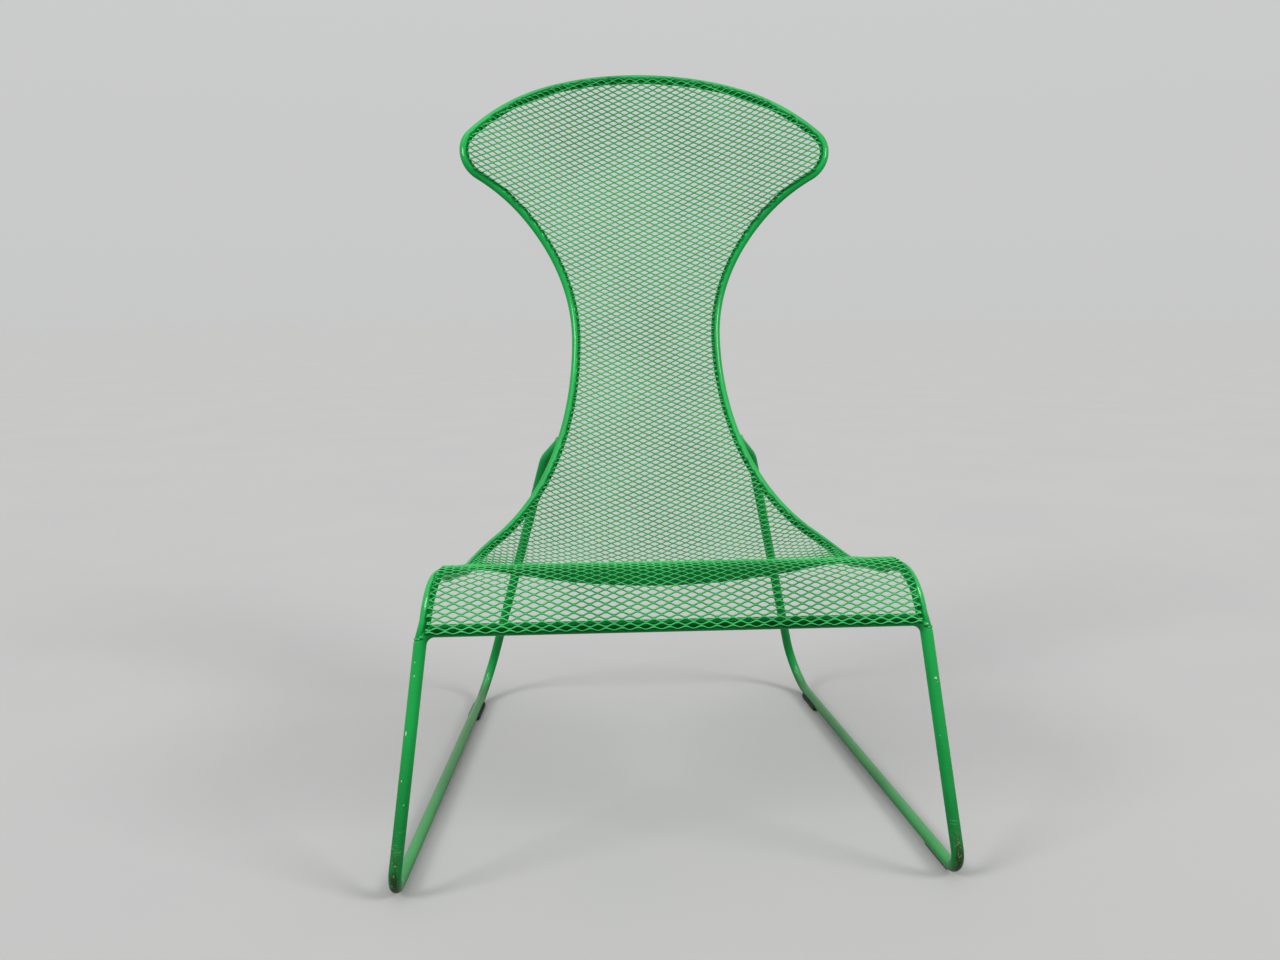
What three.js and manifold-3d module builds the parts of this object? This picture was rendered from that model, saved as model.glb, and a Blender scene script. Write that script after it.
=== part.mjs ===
import * as THREE from "three";
import { mergeVertices } from "three/addons/utils/BufferGeometryUtils.js";
import Module from "manifold-3d";

const wasm = await Module();
wasm.setup();

// Lawn chair: one bent base rod, one rim rod, one dished seat shell of expanded metal, four floor glides
// and four weld beads. Millimetres. X runs across, the front faces -Y, Z is up, the glides stand on z = 0
// and the plan is centred on the origin. Lengths along Y below are measured from the front edge of the shell.

// Rods
const baseRodDiameter = 13;
const rimRodDiameter = 12;
const fitGap = 0.3;
const copeShare = 0.5;

// Base rod, corners of its centre line before bending; the rail is set from the front edge of the shell
const railAboveEdge = 1.3;
const railPastShell = 2.6;
const frontLegSplay = 31.5;
const frontFootForward = 39;
const rearFootHalfWidth = 242.6;
const rearFootBack = 577;
const hookCornerHalfWidth = 141.4;
const hookCornerBack = 399.8;
const hookCornerAboveEdge = 120.2;
const hookLanding = 503;
const railBendRadius = 15;
const frontFootBendRadius = 24;
const rearFootBendRadius = 50;
const hookBendRadius = 36;

// Glides
const glideLength = 58;
const glideWidth = 9;
const glideUnderRod = 2.5;
const glideHeight = 4.4;
const glideCornerRadius = 3;
const frontGlideFromCorner = 58;
const rearGlideFromCorner = 106;

// Shell, lengths measured along its centre line from the front edge
const shellThickness = 2;
const shellEdgeHeight = 267;
const lipRun = 85;
const crestRun = 50;
const slopeRun = 70;
const seatBendRun = 144;
const lumbarRun = 88;
const lowerBackRun = 176;
const upperBackRun = 176;
const headRun = 232;

// Shell, lean of the centre line from upright at the end of each run, degrees
const edgeLean = 3;
const lipLean = 90;
const crestLean = 119;
const slopeLean = 119;
const seatBendLean = 49.6;
const lumbarLean = 33;
const lowerBackLean = 19.6;
const upperBackLean = 11.4;
const headLean = 7.9;

// Shell, sideways radii: the lip is straight across, the seat and the back are hollow
const seatHollowRadius = 1065;
const seatBendHollowRadius = 539;
const lumbarHollowRadius = 356;
const backHollowRadius = 330;
const wingAngle = 27;

// Outline of the shell laid flat
const frontHalfWidth = 253.7;
const frontTaper = 5.65;
const seatCornerRadius = 222;
const waistHeight = 651;
const waistHalfWidth = 95.5;
const waistLowerRadius = 515;
const waistUpperRadius = 232;
const flareTipRadius = 33;
const topRadius = 339;
const outlineLength = 1020;

// Diamond net of the shell
const diamondWidth = 76;
const diamondHeight = 38;
const strandShare = 0.16;
const rowOffsetShare = 0.3;

// Rod ends and weld beads
const rimEndBelowRail = 9;
const rimStraightTo = 12;
const weldRadius = 2;
const weldSink = 0.6;
const frontWeldBelowRail = 5.5;
const hookWeldBack = 1.5;

// Smoothness
const rodSideCount = 12;
const bendStepAngle = 12;
const rimStepAngle = 6;
const rimLongestSpan = 24;
const outlineStepCount = 24;
const glideStepCount = 4;
const weldStepCount = 18;
const mergeDistance = 0.001;

const baseRodRadius = baseRodDiameter / 2;
const rimRodRadius = rimRodDiameter / 2;
const runnerHeight = glideUnderRod + baseRodRadius;
const railHeight = shellEdgeHeight + railAboveEdge;
const railHalfLength = frontHalfWidth + railPastShell;
const frontFootHalfWidth = railHalfLength + frontLegSplay;
const hookCornerHeight = shellEdgeHeight + hookCornerAboveEdge;
const rad = THREE.MathUtils.degToRad;

// Solids to and from triangle meshes

function bodyOf(geometry) {
  const bare = new THREE.BufferGeometry();
  bare.setAttribute("position", geometry.getAttribute("position"));
  bare.setIndex(geometry.index);
  const merged = mergeVertices(bare, mergeDistance);
  return new wasm.Manifold(
    new wasm.Mesh({
      numProp: 3,
      vertProperties: merged.attributes.position.array,
      triVerts: new Uint32Array(merged.index.array),
    }),
  );
}

function geometryOf(body) {
  const mesh = body.getMesh();
  const geometry = new THREE.BufferGeometry();
  geometry.setAttribute("position", new THREE.BufferAttribute(mesh.vertProperties, mesh.numProp));
  geometry.setIndex(new THREE.BufferAttribute(mesh.triVerts, 1));
  geometry.computeVertexNormals();
  return geometry;
}

function largestPiece(body) {
  const pieces = body.decompose();
  return pieces.reduce((best, piece) => (piece.volume() > best.volume() ? piece : best));
}

// Rods: a round section carried along stations, each with a point and a direction

class StationPath extends THREE.Curve {
  constructor(stations) {
    super();
    this.stations = stations;
  }
  blend(t, key, target) {
    const place = t * (this.stations.length - 1);
    const before = Math.min(Math.floor(place), this.stations.length - 2);
    const from = this.stations[before][key];
    const to = this.stations[before + 1][key];
    return target.lerpVectors(from, to, place - before);
  }
  getUtoTmapping(u) {
    return u;
  }
  getPoint(t, target = new THREE.Vector3()) {
    return this.blend(t, "point", target);
  }
  getTangent(t, target = new THREE.Vector3()) {
    return this.blend(t, "direction", target).normalize();
  }
}

function rodGeometry(stations, radius) {
  const ring = [];
  for (let side = 0; side < rodSideCount; side++) {
    const turn = (2 * Math.PI * (side + 1 / 2)) / rodSideCount;
    ring.push(new THREE.Vector2(radius * Math.cos(turn), radius * Math.sin(turn)));
  }
  return new THREE.ExtrudeGeometry(new THREE.Shape(ring), {
    steps: stations.length - 1,
    extrudePath: new StationPath(stations),
    bevelEnabled: false,
  });
}

// Stations of a bent rod: straight runs between corners, each corner rounded to its bend radius
function bentRod(corners) {
  const stations = [];
  corners.forEach((corner, i) => {
    const here = corner.at;
    const before = corners[Math.max(i - 1, 0)].at;
    const after = corners[Math.min(i + 1, corners.length - 1)].at;
    if (!corner.bend) {
      const along = new THREE.Vector3().subVectors(after, before).normalize();
      stations.push({ point: here.clone(), direction: along });
      return;
    }
    const arriving = new THREE.Vector3().subVectors(here, before).normalize();
    const leaving = new THREE.Vector3().subVectors(after, here).normalize();
    const turn = arriving.angleTo(leaving);
    const setback = corner.bend * Math.tan(turn / 2);
    const inward = new THREE.Vector3().subVectors(leaving, arriving).normalize();
    const centre = here.clone().addScaledVector(inward, Math.hypot(corner.bend, setback));
    const spin = new THREE.Vector3().crossVectors(arriving, leaving).normalize();
    const start = here.clone().addScaledVector(arriving, -setback).sub(centre);
    const count = Math.ceil(turn / rad(bendStepAngle));
    for (let step = 0; step <= count; step++) {
      const angle = (turn * step) / count;
      stations.push({
        point: start.clone().applyAxisAngle(spin, angle).add(centre),
        direction: arriving.clone().applyAxisAngle(spin, angle),
      });
    }
  });
  return stations;
}

// Shell surface

const runs = [lipRun, crestRun, slopeRun, seatBendRun, lumbarRun, lowerBackRun, upperBackRun, headRun];
const leans = [
  edgeLean,
  lipLean,
  crestLean,
  slopeLean,
  seatBendLean,
  lumbarLean,
  lowerBackLean,
  upperBackLean,
  headLean,
];

// Point of the centre line and its lean, at a length along it
function centreLine(along) {
  let back = 0;
  let up = shellEdgeHeight;
  let lean = rad(leans[0]);
  let left = along;
  for (let i = 0; i < runs.length && left > 0; i++) {
    const length = Math.min(left, runs[i]);
    const turn = rad(leans[i + 1] - leans[i]) * (length / runs[i]);
    const chord = turn ? (length * Math.sin(turn / 2)) / (turn / 2) : length;
    back += chord * Math.sin(lean + turn / 2);
    up += chord * Math.cos(lean + turn / 2);
    lean += turn;
    left -= length;
  }
  return { back, up, lean };
}

const slopeStart = lipRun + crestRun;
const seatBendStart = slopeStart + slopeRun;
const lumbarStart = seatBendStart + seatBendRun;
const lowerBackStart = lumbarStart + lumbarRun;
const hollows = [
  { along: 0, bend: 0 },
  { along: slopeStart, bend: 0 },
  { along: seatBendStart, bend: 1 / seatHollowRadius },
  { along: lumbarStart, bend: 1 / seatBendHollowRadius },
  { along: lowerBackStart, bend: 1 / lumbarHollowRadius },
  { along: lowerBackStart + lowerBackRun + upperBackRun, bend: 1 / backHollowRadius },
  { along: outlineLength, bend: 1 / backHollowRadius },
];

function hollowAt(along) {
  const next = Math.max(1, hollows.findIndex((h) => h.along >= along));
  const from = hollows[next - 1];
  const to = hollows[next];
  const share = THREE.MathUtils.clamp((along - from.along) / (to.along - from.along), 0, 1);
  return THREE.MathUtils.lerp(from.bend, to.bend, share);
}

// Point of the shell: across and along are measured on the sheet, lift is the distance towards the sitter
function onShell(across, along, lift) {
  const { back, up, lean } = centreLine(along);
  const bend = hollowAt(along);
  const reach = Math.abs(across);
  const limit = rad(wingAngle);
  const tilt = THREE.MathUtils.clamp(bend * reach, -limit, limit);
  const curved = bend ? Math.min(reach, limit / Math.abs(bend)) : 0;
  const flat = reach - curved;
  const outward = (bend ? Math.sin(tilt) / bend : 0) + flat * Math.cos(tilt) - lift * Math.sin(tilt);
  const inward = (bend ? (1 - Math.cos(tilt)) / bend : 0) + flat * Math.sin(tilt) + lift * Math.cos(tilt);
  return new THREE.Vector3(
    Math.sign(across) * outward,
    back - inward * Math.cos(lean),
    up + inward * Math.sin(lean),
  );
}

// Outline of one half of the shell laid flat, from the front edge to the middle of the top

function arcPoints(centre, radius, from, to) {
  const points = [];
  for (let step = 1; step <= outlineStepCount; step++) {
    const turn = THREE.MathUtils.lerp(from, to, step / outlineStepCount);
    points.push(new THREE.Vector2(Math.cos(turn), Math.sin(turn)).multiplyScalar(radius).add(centre));
  }
  return points;
}

function halfOutline() {
  const towards = (from, to) => new THREE.Vector2().subVectors(to, from).angle();
  const taper = rad(frontTaper);
  const front = new THREE.Vector2(frontHalfWidth, 0);
  const sideways = new THREE.Vector2(-Math.sin(taper), Math.cos(taper));
  const outward = new THREE.Vector2(Math.cos(taper), Math.sin(taper));
  const waistLower = new THREE.Vector2(waistHalfWidth + waistLowerRadius, waistHeight);
  const waistUpper = new THREE.Vector2(waistHalfWidth + waistUpperRadius, waistHeight);
  const top = new THREE.Vector2(0, outlineLength - topRadius);

  // Seat corner arc: touches the tapered side and the lower waist arc
  const slid = front.clone().addScaledVector(outward, -seatCornerRadius);
  const away = slid.clone().sub(waistLower);
  const lead = away.dot(sideways);
  const reach = seatCornerRadius + waistLowerRadius;
  const sideLength = -lead - Math.sqrt(lead ** 2 - away.lengthSq() + reach ** 2);
  const corner = slid.addScaledVector(sideways, sideLength);

  // Flare tip arc: touches the upper waist arc from outside and the top arc from inside
  const apart = waistUpper.clone().sub(top);
  const toWaist = waistUpperRadius + flareTipRadius;
  const toTop = topRadius - flareTipRadius;
  const foot = (toTop ** 2 - toWaist ** 2 + apart.lengthSq()) / (2 * apart.length());
  const rise = Math.sqrt(toTop ** 2 - foot ** 2);
  const unit = apart.normalize();
  const tip = top.clone().addScaledVector(unit, foot);
  tip.addScaledVector(new THREE.Vector2(-unit.y, unit.x), rise);

  const points = [front];
  for (let step = 1; step <= outlineStepCount; step++) {
    points.push(front.clone().addScaledVector(sideways, (sideLength * step) / outlineStepCount));
  }
  points.push(...arcPoints(corner, seatCornerRadius, taper, towards(corner, waistLower)));
  points.push(...arcPoints(waistLower, waistLowerRadius, towards(waistLower, corner), Math.PI));
  points.push(...arcPoints(waistUpper, waistUpperRadius, Math.PI, towards(waistUpper, tip)));
  points.push(...arcPoints(tip, flareTipRadius, towards(tip, waistUpper) - 2 * Math.PI, towards(top, tip)));
  points.push(...arcPoints(top, topRadius, towards(top, tip), Math.PI / 2));
  return points;
}

const outline = halfOutline();
const fullOutline = [
  ...outline,
  ...outline
    .slice(0, -1)
    .reverse()
    .map((p) => new THREE.Vector2(-p.x, p.y)),
];

// Rim rod: follows the outline behind the shell

// A straight strand of the net cuts inside the arc of the lip by its sag
const strandRise = diamondHeight / 2;
const lipRadius = lipRun / rad(lipLean - edgeLean);
const lipSag = strandRise ** 2 / (8 * lipRadius);

function rimPoint({ x, y }) {
  const share = THREE.MathUtils.clamp((seatBendStart - y) / slopeRun, 0, 1);
  return onShell(x, y, -(shellThickness / 2 + fitGap + rimRodRadius + lipSag * share));
}

// Keeps a station wherever the path has turned by one step or run on for the longest step
function thinned(points) {
  const directions = points.map((point, i) => {
    const before = points[Math.max(i - 1, 0)];
    const after = points[Math.min(i + 1, points.length - 1)];
    const leaving = after.clone().sub(point).normalize();
    return point.clone().sub(before).normalize().add(leaving).normalize();
  });
  const kept = [0];
  points.forEach((point, i) => {
    const last = kept[kept.length - 1];
    const turned = directions[i].angleTo(directions[last]) >= rad(rimStepAngle);
    const far = point.distanceTo(points[last]) >= rimLongestSpan;
    if (i > last && (turned || far)) kept.push(i);
  });
  if (kept[kept.length - 1] !== points.length - 1) kept.push(points.length - 1);
  return kept.map((i) => ({ point: points[i], direction: directions[i] }));
}

// Point of the outline at a length along the shell, below the flare
function edgeAt(along) {
  const next = outline.findIndex(({ y }) => y >= along);
  const from = outline[Math.max(next - 1, 0)];
  const to = outline[Math.max(next, 1)];
  return from.clone().lerp(to, (along - from.y) / (to.y - from.y));
}

// Front rail of the base rod, its centre line against the back of the lip
const shellToRail = shellThickness / 2 + fitGap + baseRodRadius + lipSag;
const lipCentreHeight = shellEdgeHeight - lipRadius * Math.sin(rad(edgeLean));
const lipCentreBack = lipRadius * Math.cos(rad(edgeLean));
const railRise = railHeight - lipCentreHeight;
const railBack = lipCentreBack - Math.sqrt((lipRadius - shellToRail) ** 2 - railRise ** 2);
const railCorner = new THREE.Vector3(railHalfLength, railBack, railHeight);
const frontFoot = new THREE.Vector3(frontFootHalfWidth, -frontFootForward, runnerHeight);

// Point of the front leg's centre line at a distance below the rail
function onLeg(below) {
  const down = frontFoot.clone().sub(railCorner);
  return railCorner.clone().addScaledVector(down, -below / down.z);
}

// The rim leaves the outline near the front edge and ends on the bend of the base rod, in line with the leg
const upperRim = [edgeAt(rimStraightTo), ...outline.filter(({ y }) => y > rimStraightTo)].map(rimPoint);
const halfRim = thinned([onLeg(rimEndBelowRail), ...upperRim]);
halfRim[halfRim.length - 1].direction.set(-1, 0, 0);
const rimStations = [
  ...halfRim,
  ...halfRim
    .slice(0, -1)
    .reverse()
    .map(({ point, direction }) => ({
      point: new THREE.Vector3(-point.x, point.y, point.z),
      direction: new THREE.Vector3(direction.x, -direction.y, -direction.z),
    })),
];

// Base rod: front rail, legs, runners, rear uprights and hooks that end on the back of the rim rod

const rearFoot = new THREE.Vector3(rearFootHalfWidth, rearFootBack, runnerHeight);
const hookCorner = new THREE.Vector3(hookCornerHalfWidth, hookCornerBack, hookCornerHeight);
const landing = rimPoint(edgeAt(hookLanding));
const hookAxis = landing.clone().sub(hookCorner).normalize();
const hookEnd = landing.clone().addScaledVector(hookAxis, -copeShare * rimRodRadius);

function baseCorners(side, spare) {
  const end = hookEnd.clone().addScaledVector(hookAxis, spare);
  const corner = ({ x, y, z }, bend) => ({ at: new THREE.Vector3(side * x, y, z), bend });
  return [
    corner(railCorner, railBendRadius),
    corner(frontFoot, frontFootBendRadius),
    corner(rearFoot, rearFootBendRadius),
    corner(hookCorner, hookBendRadius),
    corner(end),
  ];
}

function basePath(spare) {
  return bentRod([...baseCorners(-1, spare).reverse(), ...baseCorners(1, spare)]);
}

const baseStations = basePath(0);
const railStations = baseStations.filter(
  ({ point }) => point.z > railHeight / 2 && point.y < rearFootBack / 2,
);

const wideBase = bodyOf(rodGeometry(basePath(fitGap), baseRodRadius + fitGap));
const wideRail = bodyOf(rodGeometry(railStations, baseRodRadius + fitGap));
const wideRim = bodyOf(rodGeometry(rimStations, rimRodRadius + fitGap));
const rimBody = largestPiece(bodyOf(rodGeometry(rimStations, rimRodRadius)).subtract(wideRail));
const backRimStations = rimStations.filter(({ point }) => point.y > hookCornerBack / 2);
const wideBackRim = bodyOf(rodGeometry(backRimStations, rimRodRadius + fitGap));
const baseBody = largestPiece(bodyOf(rodGeometry(baseStations, baseRodRadius)).subtract(wideBackRim));

// Shell: a staggered diamond net cut to the outline, then laid on the shell surface

// The net laid flat: a small diamond where strands cross, and a strip along each strand between crossings
function flatNet() {
  const half = new THREE.Vector2(diamondWidth / 2, diamondHeight / 2);
  const knot = half.clone().multiplyScalar((strandShare * half.length()) / half.x);
  const rows = Math.ceil(outlineLength / half.y) + 1;
  const columns = Math.ceil(frontHalfWidth / half.x) + 1;
  const span = 2 * columns + 1;
  const places = [];
  const faces = [];
  const edges = new Map();
  const [left, below, right, above] = [0, 1, 2, 3];
  const knotCorners = [left, below, right, above];
  const layer = knotCorners.length * span * (rows + 1);
  const vertex = (row, column, corner) => knotCorners.length * (row * span + column + columns) + corner;
  const strip = (...ring) => {
    faces.push([ring[0], ring[1], ring[2]], [ring[0], ring[2], ring[3]]);
    ring.forEach((from, i) => {
      const to = ring[(i + 1) % ring.length];
      if (!edges.delete(`${to} ${from}`)) edges.set(`${from} ${to}`, [from, to]);
    });
  };
  for (let row = 0; row <= rows; row++) {
    for (let column = -columns; column <= columns; column++) {
      const x = column * half.x;
      const y = (row - rowOffsetShare) * half.y;
      places.push([x - knot.x, y], [x, y - knot.y], [x + knot.x, y], [x, y + knot.y]);
      if ((row + column) % 2) continue;
      const here = knotCorners.map((corner) => vertex(row, column, corner));
      const rightUp = (corner) => vertex(row + 1, column + 1, corner);
      const leftUp = (corner) => vertex(row + 1, column - 1, corner);
      strip(...here);
      if (row < rows && column < columns) strip(here[right], rightUp(below), rightUp(left), here[above]);
      if (row < rows && column > -columns) strip(here[above], leftUp(right), leftUp(below), here[left]);
    }
  }
  const lift = shellThickness / 2;
  const points = [...places.map(([x, y]) => [x, y, lift]), ...places.map(([x, y]) => [x, y, -lift])];
  const under = faces.map(([a, b, c]) => [a + layer, c + layer, b + layer]);
  const walls = [...edges.values()].flatMap(([a, b]) => [
    [a + layer, b + layer, b],
    [a + layer, b, a],
  ]);
  const net = new THREE.BufferGeometry();
  net.setAttribute("position", new THREE.Float32BufferAttribute(points.flat(), 3));
  net.setIndex([...faces, ...under, ...walls].flat());
  return net;
}

function shellBody() {
  const depth = 2 * shellThickness;
  const blank = new THREE.ExtrudeGeometry(new THREE.Shape(fullOutline), { depth, bevelEnabled: false });
  blank.translate(0, 0, -shellThickness);
  const net = geometryOf(largestPiece(bodyOf(flatNet()).intersect(bodyOf(blank))));
  const places = net.getAttribute("position");
  for (let i = 0; i < places.count; i++) {
    const point = onShell(places.getX(i), places.getY(i), places.getZ(i));
    places.setXYZ(i, point.x, point.y, point.z);
  }
  return largestPiece(bodyOf(net).subtract(wideRim).subtract(wideRail));
}

// Glides: pads under the runners, hollowed to take the rod

function glideBody(side, fromCorner, towardsCorner) {
  const foot = frontFoot.clone().multiply(new THREE.Vector3(side, 1, 1));
  const rear = rearFoot.clone().multiply(new THREE.Vector3(side, 1, 1));
  const [start, end] = towardsCorner ? [rear, foot] : [foot, rear];
  const along = end.clone().sub(start).normalize();
  const centre = start.clone().addScaledVector(along, fromCorner);
  const half = new THREE.Vector2(glideLength / 2, glideWidth / 2);
  const inner = half.clone().subScalar(glideCornerRadius);
  const pad = new THREE.Shape();
  pad.absarc(inner.x, inner.y, glideCornerRadius, 0, Math.PI / 2);
  pad.absarc(-inner.x, inner.y, glideCornerRadius, Math.PI / 2, Math.PI);
  pad.absarc(-inner.x, -inner.y, glideCornerRadius, Math.PI, (3 * Math.PI) / 2);
  pad.absarc(inner.x, -inner.y, glideCornerRadius, (3 * Math.PI) / 2, 2 * Math.PI);
  const block = new THREE.ExtrudeGeometry(pad, {
    depth: glideHeight,
    bevelEnabled: false,
    curveSegments: glideStepCount,
  });
  block.rotateZ(Math.atan2(along.y, along.x));
  block.translate(centre.x, centre.y, 0);
  const ends = [-glideLength, glideLength].map((offset) => ({
    point: centre.clone().addScaledVector(along, offset),
    direction: along,
  }));
  return bodyOf(block).subtract(bodyOf(rodGeometry(ends, baseRodRadius + fitGap)));
}

// Weld beads: a collar round each rod end, cut clear of both rods

function weldBody(centre, along, rodRadius) {
  const collar = new THREE.TorusGeometry(rodRadius - weldSink, weldRadius, weldStepCount / 3, weldStepCount);
  const turn = new THREE.Quaternion().setFromUnitVectors(new THREE.Vector3(0, 0, 1), along);
  const body = bodyOf(collar.applyQuaternion(turn).translate(centre.x, centre.y, centre.z));
  return largestPiece(body.subtract(wideRim).subtract(wideBase));
}

const frontWeldCentre = onLeg(frontWeldBelowRail);
const frontWeldAxis = railCorner.clone().sub(frontFoot).normalize();
const frontWeld = weldBody(frontWeldCentre, frontWeldAxis, baseRodRadius);
const hookWeldCentre = hookEnd.clone().addScaledVector(hookAxis, -hookWeldBack);
const hookWeld = weldBody(hookWeldCentre, hookAxis, baseRodRadius);
const handed = (body, side) => (side < 0 ? body.mirror([1, 0, 0]) : body);

// Assembly

const painted = { color: 0x2fa86a, metalness: 0.2, roughness: 0.4 };
const rubber = { color: 0x151515, metalness: 0, roughness: 0.8 };
const group = new THREE.Group();

function addPiece(name, body, finish) {
  const mesh = new THREE.Mesh(geometryOf(body), new THREE.MeshStandardMaterial(finish));
  mesh.name = name;
  group.add(mesh);
}

addPiece("base_rod", baseBody, painted);
addPiece("rim_rod", rimBody, painted);
addPiece("mesh_shell", shellBody(), painted);
for (const [hand, side] of [
  ["left", -1],
  ["right", 1],
]) {
  addPiece(`glide_front_${hand}`, glideBody(side, frontGlideFromCorner, false), rubber);
  addPiece(`glide_rear_${hand}`, glideBody(side, rearGlideFromCorner, true), rubber);
  addPiece(`weld_front_${hand}`, handed(frontWeld, side), painted);
  addPiece(`weld_hook_${hand}`, handed(hookWeld, side), painted);
}

// Plan centred on the origin
const box = new THREE.Box3().setFromObject(group);
group.position.y = -(box.min.y + box.max.y) / 2;

export default group;
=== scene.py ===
import math

import bpy
import numpy as np
from mathutils import Matrix, Quaternion, Vector, noise
from mathutils.bvhtree import BVHTree


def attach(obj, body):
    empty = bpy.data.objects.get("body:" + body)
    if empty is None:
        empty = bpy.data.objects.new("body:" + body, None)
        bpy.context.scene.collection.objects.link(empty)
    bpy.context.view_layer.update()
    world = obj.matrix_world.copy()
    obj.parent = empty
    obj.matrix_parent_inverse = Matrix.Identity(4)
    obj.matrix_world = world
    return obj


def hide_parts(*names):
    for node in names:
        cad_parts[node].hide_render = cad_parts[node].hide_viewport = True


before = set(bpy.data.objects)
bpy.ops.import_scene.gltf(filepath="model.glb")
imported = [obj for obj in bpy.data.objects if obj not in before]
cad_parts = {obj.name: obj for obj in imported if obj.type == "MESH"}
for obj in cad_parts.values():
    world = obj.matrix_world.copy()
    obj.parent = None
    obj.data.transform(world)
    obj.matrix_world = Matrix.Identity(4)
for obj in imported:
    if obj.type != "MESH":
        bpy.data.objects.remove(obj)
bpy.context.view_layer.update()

# Sizes in millimetres, as in the part: X across, front towards -Y, Z up. Y counts from the
# shell's front edge, and PLAN_SHIFT moves it to the part's origin.
MM = 0.001
PLAN_SHIFT = -258.0107

# Radii of the rods, and the clearance that stands for weld fusion
BASE_R = 6.5
RIM_R = 6.0
FIT_GAP = 0.3

# Corners of the base rod before bending, and its bend radii from the rail to the hook. The hook
# lands at a length along the shell, and stops short of the rim's middle by a share of its radius.
GLIDE_UNDER = 2.5
RUNNER_Z = GLIDE_UNDER + BASE_R
RAIL_Z = 268.3
RAIL_X = 256.3
FRONT_FOOT = (287.8, -39.0)
REAR_FOOT = (242.6, 577.0)
HOOK_CORNER = (141.4, 399.8, 387.2)
HOOK_LANDING = 503.0
HOOK_STOPS_SHORT = 0.5
BENDS = (15.0, 24.0, 50.0, 36.0)

# The rim rod ends on the leg below the rail, and follows the outline from a length on
RIM_END_BELOW = 9.0
RIM_FOLLOWS_FROM = 12.0

# Rounding of a rod's ends as a share of its radius, and its steps in metres
END_ROUNDING = 0.12
LONGEST_STEP = 0.006
SHORTEST_STEP = 0.004

# The shell's middle line: lengths of its arcs, and its lean from upright at their ends
EDGE_Z = 267.0
RUNS = (85.0, 50.0, 70.0, 144.0, 88.0, 176.0, 176.0, 232.0)
LEANS = (3.0, 90.0, 119.0, 119.0, 49.6, 33.0, 19.6, 11.4, 7.9)
LENGTH = 1020.0
SLOPE_AT = RUNS[0] + RUNS[1]
LIP_R = RUNS[0] / math.radians(LEANS[1] - LEANS[0])

# Its sideways hollow: curvature at lengths along the middle line, and the tilt where it ends
HOLLOW_AT = (0.0, 135.0, 205.0, 349.0, 437.0, 789.0, 1020.0)
HOLLOW = (0.0, 0.0, 1 / 1065, 1 / 539, 1 / 356, 1 / 330, 1 / 330)
NO_HOLLOW = 1e-12
WING = math.radians(27.0)

# Its outline laid flat, from the front edge over the waist and the tip to the top
FRONT_W = 253.7
TAPER = math.radians(5.65)
CORNER_R = 222.0
WAIST_AT = 651.0
WAIST_W = 95.5
WAIST_LOWER_R = 515.0
WAIST_UPPER_R = 232.0
TIP_R = 33.0
TOP_R = 339.0

# The solid net, whose chords sag over the lip and hold the rods off by as much
SHELL_T = 2.0
NET_CHORD = 19.0
NET_SAG = NET_CHORD**2 / (8 * LIP_R)

# Expanded metal at its real pitch: width, thickness, tilt and raised bonds of the strands
LONG_WAY = 16.0
SHORT_WAY = 7.9
STRAND_W = 1.6
STRAND_T = 1.15
STRAND_BITE = 0.92
BOND_SHARE = 0.16
STRAND_TILT = math.radians(-32.0)
RAISE = 0.45

# Its first and last row from the shell's ends, and how the strands end at the outline and waver
FIRST_ROW = 1.2
LAST_ROW_SHORT = 1.0
STRAND_END = -2.6
CUT_SCATTER = (-0.5, 0.3)
STRAND_WAVER = 0.05

# A rod lies in the net's shelter, where its colour gets painted shade, from one of these
# distances to the other, in metres
COVER_NEAR = 0.0024
COVER_FAR = 0.0036

# Weld beads: number and share of the ripples, slow swelling, wander and stretch along the rod
RIPPLES = 17
RIPPLE = 0.16
SWELL = 0.35
WANDER = 0.5
STRETCH = 1.25
BEAD_SEED = 3
HOOK_SEED_STEP = 5

# Their place along the rod, how far they sink into it, and their radius
FRONT_BEAD_BELOW = 7.8
FRONT_BEAD_SUNK = 0.35
FRONT_BEAD_R = 0.72
HOOK_BEAD_BACK = 1.5
HOOK_BEAD_SUNK = 0.3
HOOK_BEAD_R = 1.35

# Small lumps on the front welds: turn about the leg, height below the rail, size
WELD_LUMPS = {
    "left": ((0.15, 5.6, 1.35), (1.15, 6.4, 1.45), (2.6, 6.0, 1.0)),
    "right": ((-0.2, 4.6, 1.7), (-0.95, 6.6, 1.0), (-2.4, 6.0, 1.0)),
}
LUMP_PROUD = 0.15
LUMP_SHAPE = (1.5, 1.9, 0.9)
LUMP_BUMPS = 0.22

# Tack welds under the strand ends
TACK_INSET = 0.998
TACK_LIFT = -1.25
TACK_SIZES = (0.9, 1.4)
TACK_SHAPE = (1.0, 1.3, 0.75)
TACK_SEED_STEP = 0.37

# Glides: length, distance from the foot's corner, height and wall at both ends of the runner,
# gap to the runner, and how they narrow and lift towards their own ends
GLIDE_LENGTH = 58.0
GLIDE_FROM_CORNER = {"front": 58.0, "rear": 106.0}
GLIDE_RISE = {"front": 3.0, "rear": 7.0}
PAD_WALL = {"front": 0.6, "rear": 2.7}
PAD_GAP = 0.1
PAD_END_WIDTH = 0.72
PAD_END_LIFT = 0.9
PAD_LIFT_TO = 2.0
PAD_SQUARENESS = 9
FLANK_POWER = 0.45
SOLE_POWER = 0.5

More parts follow.
